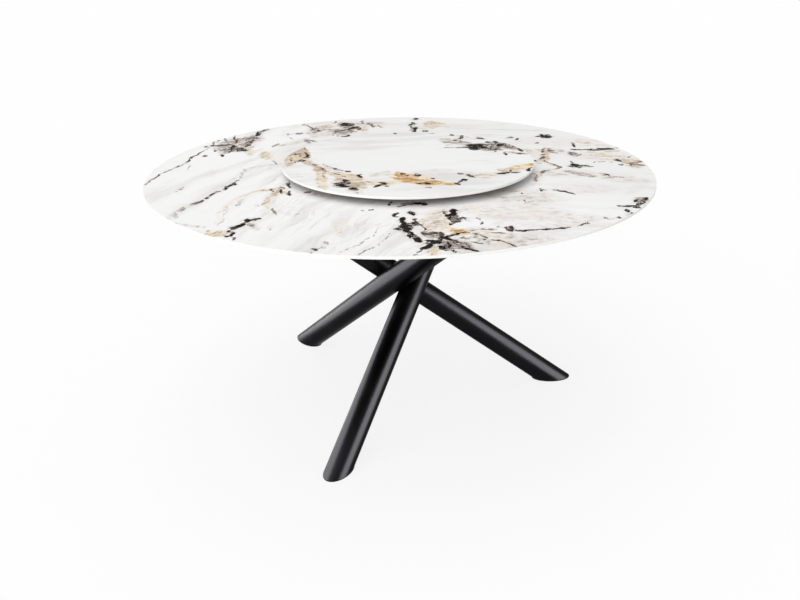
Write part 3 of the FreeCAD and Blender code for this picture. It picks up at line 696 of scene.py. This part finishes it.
def slab_shape(centre, radius, bottom, top, undercut_width, count):
    """Points and faces of a round slab in mm, and its side at each point.

    The face is an even grid that holds the pattern, and the profile's rings go from its edge down
    to the back. The side is 1 on the face, 0 down the rim and the undercut, and -1 on the back.
    """
    grid_x, grid_y = disc_grid(count)
    face_radius = radius - arris - support_ring
    index = np.arange(grid_x.size).reshape(grid_x.shape)
    edge = np.concatenate([index[0, :-1], index[:-1, -1], index[-1, :0:-1], index[:0:-1, 0]])
    way_x, way_y = grid_x.ravel()[edge], grid_y.ravel()[edge]
    xs, ys = [grid_x.ravel() * face_radius], [grid_y.ravel() * face_radius]
    zs = [np.full(grid_x.size, top)]
    quads = [np.stack([index[:-1, :-1], index[:-1, 1:], index[1:, 1:], index[1:, :-1]], -1)]
    upper = edge
    for ring, (ring_radius, level) in enumerate(slab_profile(radius, bottom, top, undercut_width)):
        xs.append(way_x * ring_radius)
        ys.append(way_y * ring_radius)
        zs.append(np.full(edge.size, level))
        lower = grid_x.size + ring * edge.size + np.arange(edge.size)
        quads.append(np.stack([upper, lower, np.roll(lower, -1), np.roll(upper, -1)], -1))
        upper = lower
    faces = np.concatenate([quad.reshape(-1, 4) for quad in quads]).tolist()
    faces.append(upper[::-1].tolist())
    points = np.concatenate(xs) + centre.x, np.concatenate(ys) + centre.y, np.concatenate(zs)
    side = np.zeros(points[0].size)
    side[: grid_x.size + edge.size] = 1.0
    side[-edge.size:] = -1.0
    return points, faces, side


def stone_slab(name, node, undercut_width, count, fields):
    """Round slab in place of a CAD slab, with the pattern's fields on its mesh."""
    low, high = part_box(node)
    centre = (low + high) / 2 / MM
    radius = (high.x - low.x) / 2 / MM
    (x, y, z), faces, side = slab_shape(
        centre, radius, low.z / MM, high.z / MM, undercut_width, count)
    mesh = bpy.data.meshes.new(name)
    mesh.from_pydata(np.stack([x, y, z], -1) * MM, [], faces)
    for field, values in {**fields(x, y), "face": side}.items():
        mesh.attributes.new(field, "FLOAT", "POINT").data.foreach_set("value", values)
    mesh.polygons.foreach_set("use_smooth", np.ones(len(faces), bool))
    mesh.set_sharp_from_angle(angle=math.radians(sharp_angle))
    slab = bpy.data.objects.new(name, mesh)
    bpy.context.scene.collection.objects.link(slab)
    return slab


def make_slabs():
    """Table top and lazy susan disc."""
    top = stone_slab(
        "stone_top", "table_top", top_undercut_width, top_grid_count,
        pattern(top_ink, {"gold": top_gold, "tan": top_tan, "mauve": top_mauve}, top_seed),
    )
    top.data.materials.append(stone("top_stone_finish", top_body, top_painted_shade_levels, top_streaks))
    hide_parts("table_top")
    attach(top, "table")
    disc = stone_slab(
        "stone_disc", "lazy_susan_disc", susan_undercut_width, susan_grid_count,
        pattern(susan_ink, {"gold": susan_gold, "tan": susan_tan, "mauve": susan_mauve}, susan_seed),
    )
    disc.data.materials.append(stone("susan_stone_finish", susan_body, susan_painted_shade_levels, susan_streaks))
    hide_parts("lazy_susan_disc")
    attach(disc, "lazy_susan")


# ---- stone finish

class Stone(Paint):
    """The noises that the layers of the stone share, and a method for each layer."""

    def __init__(self, name, bearings):
        super().__init__(name, specular=0.02)
        self.swayed = self.pushed(self.pushed(self.place, 3.0, 0.09), 18.0, 0.018)
        self.along = self.streaked(self.swayed, bearings, cloud_narrowing)
        self.clouds = self.noise(self.along, 2.0, 6, 0.6)
        self.mottle = self.noise(self.swayed, 24, 5, 0.62)
        self.flow = self.noise(self.streaked(self.swayed, bearings, stain_narrowing), 26, 6, 0.7)
        self.grain = self.noise(self.swayed, 60, 4, 0.6)
        self.grit = self.noise(self.place, 150, 4, 0.65)
        broad = self.crest(self.noise(self.swayed, 19, 4, 0.55), 0.026)
        fine = self.crest(self.noise(self.swayed, 44, 4, 0.55), 0.05)
        self.lines = self.math("MAXIMUM", broad, fine)

    def ground(self, lit_and_shaded_levels):
        """White ground, darkened a little toward the back right by painted shade, with pale clouds and
        grey threads.
        """
        parts = self.node("SeparateXYZ", {0: self.place})
        # painted shade: the clear ground runs from its lit level at the front left to a darker shaded
        # level at the back right
        toward_painted_shade = self.math("ADD", parts.outputs[0], parts.outputs[1])
        first, last = [srgb(level, level, level) for level in lit_and_shaded_levels]
        clear = self.blend(self.step(toward_painted_shade, -0.1, 0.6), first, last)
        ground = self.blend(self.step(self.clouds, 0.45, 0.75), clear, srgb(*cloud_colour))
        thread = self.crest(self.noise(self.along, 2.6, 5, 0.6), 0.03)
        gate = self.step(self.noise(self.swayed, 2.3, 3), 0.5, 0.68)
        opacity = self.times(self.times(thread, gate), thread_opacity)
        return self.blend(opacity, ground, srgb(*thread_colour))

    def stained(self, ground):
        """Mauve, tan and gold stains over the ground, torn along the streaks, with fine veins."""
        mottled = self.times(self.math("SUBTRACT", self.mottle, 0.5), 0.6)
        torn = self.math("ADD", mottled, self.math("SUBTRACT", self.flow, 0.5))
        grained = self.step(self.grain, 0.3, 0.7, 0.8, 1.2)
        streaky = self.times(self.step(self.flow, 0.3, 0.68, 0.55, 1.3), grained)
        for stain, (pale, strong, vein) in stain_colours.items():
            strength = self.field(stain)
            tear = self.step(strength, 0.0, 0.5, 0.0, 0.45)
            patchy = self.times(self.math("MULTIPLY_ADD", torn, tear, strength), streaky)
            colour = self.blend(self.step(patchy, 0.2, 1.15), srgb(*pale), srgb(*strong))
            veined = self.times(self.lines, self.step(patchy, 0.4, 0.95, 0.0, 0.7))
            colour = self.blend(veined, colour, srgb(*vein))
            ground = self.blend(self.step(patchy, -0.05, 0.8), ground, colour)
        return ground

    def hazed(self, ground):
        """Pale brown haze over the ground, round the dark marks."""
        wash = self.times(self.field("haze"), self.step(self.flow, 0.34, 0.64, 0.1, 1.3))
        return self.blend(self.step(wash, 0.02, 0.7, 0.0, 0.7), ground, srgb(*haze_colour))

    def mark_shape(self):
        """1 inside the dark marks and 0 outside, with a ragged edge that is softer on pale marks."""
        ragged = self.math("MULTIPLY_ADD", self.flow, 1.9, self.times(self.grain, 1.6))
        ragged = self.math("SUBTRACT", self.math("MULTIPLY_ADD", self.grit, 1.6, ragged), 2.55)
        width = self.field("ink_width")
        inside = self.math("SUBTRACT", width, self.math("ABSOLUTE", self.field("ink_across")))
        inside = self.math("MINIMUM", inside, self.math("ADD", self.field("ink"), grid_slack))
        reach = self.math("MULTIPLY_ADD", self.math("MAXIMUM", width, 0.0), 0.95, 0.8)
        inside = self.math("MULTIPLY_ADD", ragged, reach, inside)
        soft = self.step(self.field("ink_depth"), 0.1, 0.6, 2.5, 0.8)
        return self.step(inside, self.times(soft, -1.0), self.math("ADD", soft, 0.6))

    def fragments(self):
        """How strong the dark marks' colour is: it is broken into fragments with paler gaps."""
        values = {"Vector": self.pushed(self.swayed, 60.0, 0.016), "Scale": fragment_scale}
        cells = self.node("TexVoronoi", values)
        shade = self.node("SeparateColor", {0: cells.outputs["Color"]}).outputs[0]
        edges = self.node("TexVoronoi", values, feature="DISTANCE_TO_EDGE")
        gap = self.step(edges.outputs["Distance"], 0.0, 0.1, 0.45, 1.0)
        return self.times(self.step(shade, 0.1, 0.5, 0.4, 1.3), gap)

    def inked(self, ground):
        """Dark marks over the ground, and fine lines in the haze and the stronger mauve."""
        haze = self.math("MAXIMUM", self.field("haze"), self.times(self.field("mauve"), 0.7))
        lines = self.times(self.lines, self.step(haze, 0.3, 0.75))
        depth = self.times(self.mark_shape(), self.field("ink_depth"))
        depth = self.times(depth, self.fragments())
        depth = self.math("MAXIMUM", depth, self.times(lines, 0.7))
        tone = self.node("ValToRGB", {"Fac": depth})
        for place, _ in ink_tones[1:-1]:
            tone.color_ramp.elements.new(place)
        for element, (place, colour) in zip(tone.color_ramp.elements, ink_tones):
            element.position = place
            element.color = srgb(*colour)
        return self.blend(self.step(depth, 0.0, 0.4), ground, tone.outputs["Color"])

    def sided(self, face, body_colour):
        """The face's colour on the face, a plain body at the rim and the undercut, a raw back."""
        body = self.blend(self.mottle, srgb(*body_colour), srgb(*[v - 6 for v in body_colour]))
        raw = self.blend(self.grit, *[srgb(*colour) for colour in back_colours])
        sides = self.blend(self.times(self.field("face"), -1.0), body, raw)
        return self.blend(self.field("face"), sides, face)


def stone(name, body_colour, painted_shade_ground_levels, bearings):
    """Honed white stone with dark, gold, tan and mauve veins."""
    paint = Stone(name, bearings)
    face = paint.inked(paint.hazed(paint.stained(paint.ground(painted_shade_ground_levels))))
    paint.feed("Base Color", paint.sided(face, body_colour))
    paint.roughness(paint.clouds, 0.52, 0.62)
    paint.bump(paint.noise(paint.place, 700, 3, 0.6), 0.04)
    return paint.material


# ---- other finishes

def powder_coat():
    """Satin black powder coat on steel, no shinier at its edges, with a fine orange peel."""
    paint = Paint("black_powder_coat", metallic=1.0)
    paint.feed("Specular Tint", edge_tint)
    drift = paint.noise(paint.place, 9, 3)
    paint.colour(drift, (22, 22, 23), (26, 26, 28))
    paint.roughness(drift, 0.28, 0.34)
    paint.bump(paint.noise(paint.place, 480, 2, 0.4), 0.06)
    return paint.material


def moulded_plastic(name, colour, specular=0.3, grain=900, roughness=0.5):
    """Moulded plastic or rubber with a fine spark-eroded grain."""
    paint = Paint(name, specular=specular)
    drift = paint.noise(paint.place, 30, 3)
    paint.colour(drift, colour, [max(value - 6, 0) for value in colour])
    paint.roughness(drift, roughness - 0.05, roughness + 0.05)
    paint.bump(paint.noise(paint.place, grain, 2, 0.5), 0.05)
    return paint.material


def clear_rubber(name, colour, transmission):
    """Soft translucent silicone."""
    paint = Paint(name, specular=0.4)
    paint.feed("Transmission Weight", transmission)
    haze = paint.noise(paint.place, 60, 3)
    paint.colour(haze, colour, [value - 12 for value in colour])
    paint.roughness(haze, 0.35, 0.5)
    paint.bump(paint.noise(paint.place, 300, 2), 0.05)
    return paint.material


def board_paint():
    """Fibreboard under a thin coat of black paint, with the fibre showing through."""
    paint = Paint("black_board_paint", specular=0.2)
    fibre = paint.noise(paint.place, 240, 5, 0.65)
    drift = paint.noise(paint.place, 6, 4)
    shade = paint.math("MULTIPLY_ADD", fibre, 0.5, paint.times(drift, 0.5))
    paint.colour(shade, (16, 16, 16), (34, 33, 32))
    paint.roughness(fibre, 0.55, 0.75)
    paint.bump(fibre, 0.15)
    return paint.material


def plated_steel(name, colour, roughness, grain=260):
    """Plated or blackened steel with faint mottling of the plating."""
    paint = Paint(name, metallic=1.0)
    mottle = paint.noise(paint.place, grain, 4, 0.6)
    paint.colour(mottle, colour, [value * 0.86 for value in colour])
    paint.roughness(mottle, roughness - 0.06, roughness + 0.08)
    paint.bump(paint.noise(paint.place, 1500, 2), 0.02)
    return paint.material


def turned_aluminium(centre):
    """Aluminium with fine lathe rings about the bearing's axis."""
    paint = Paint("turned_aluminium", metallic=1.0)
    own = paint.node("Mapping", {"Vector": paint.place, "Location": (-centre.x, -centre.y, 0)})
    parts = paint.node("SeparateXYZ", {0: own.outputs[0]})
    flat = paint.node("CombineXYZ", {0: parts.outputs[0], 1: parts.outputs[1]})
    radius = paint.node("VectorMath", {0: flat.outputs[0]}, operation="LENGTH").outputs["Value"]
    ring_place = paint.node("CombineXYZ", {0: radius, 1: parts.outputs[2]})
    rings = paint.noise(ring_place.outputs[0], 2600, 2, 0.7)
    paint.colour(paint.noise(paint.place, 20, 3), (205, 207, 210), (184, 187, 191))
    paint.roughness(rings, 0.24, 0.40)
    paint.bump(rings, 0.03)
    return paint.material


def dress(material, *names):
    """Gives CAD nodes their finish."""
    for name in names:
        for place in nodes[name].material_slots:
            place.material = material


def dress_frame():
    """Finish for each CAD node that stays in sight."""
    legs = [f"{side}_leg_{kind}" for side in ("front", "right", "left") for kind in ("tube", "plate")]
    dress(powder_coat(), *legs, "plate_welds", "crossing_welds")
    caps = [f"{side}_foot_cap" for side in ("front", "right", "left")]
    dress(moulded_plastic("black_cap_plastic", (14, 14, 14)), *caps)
    dress(moulded_plastic("white_cage_nylon", (226, 223, 212), 0.4, 1200, 0.4), "ball_cage")
    dress(moulded_plastic("grey_foot_rubber", (42, 42, 43), 0.2, 1500, 0.7), "bearing_rubber_feet")
    dress(clear_rubber("bonding_silicone", (196, 198, 196), 0.2), "bonding_layer")
    dress(clear_rubber("pad_silicone", (222, 226, 228), 0.6), "disc_support_pads")
    dress(board_paint(), "mounting_board")
    dress(plated_steel("yellow_zinc_insert", (196, 178, 128), 0.35), "threaded_inserts")
    dress(plated_steel("bright_zinc", (188, 192, 198), 0.32), "plate_washers")
    dress(plated_steel("black_oxide_steel", (46, 45, 44), 0.38), "plate_screws")
    dress(plated_steel("polished_ball_steel", (214, 214, 216), 0.10, 90), "bearing_balls")
    low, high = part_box("lazy_susan_disc")
    dress(turned_aluminium((low + high) / 2), "bearing_fixed_ring", "bearing_turning_ring")


bpy.context.scene.view_settings.view_transform = "Standard"
add_camera()
add_surround()
add_lamps()
add_leg_lamps()
add_floor()
make_slabs()
dress_frame()
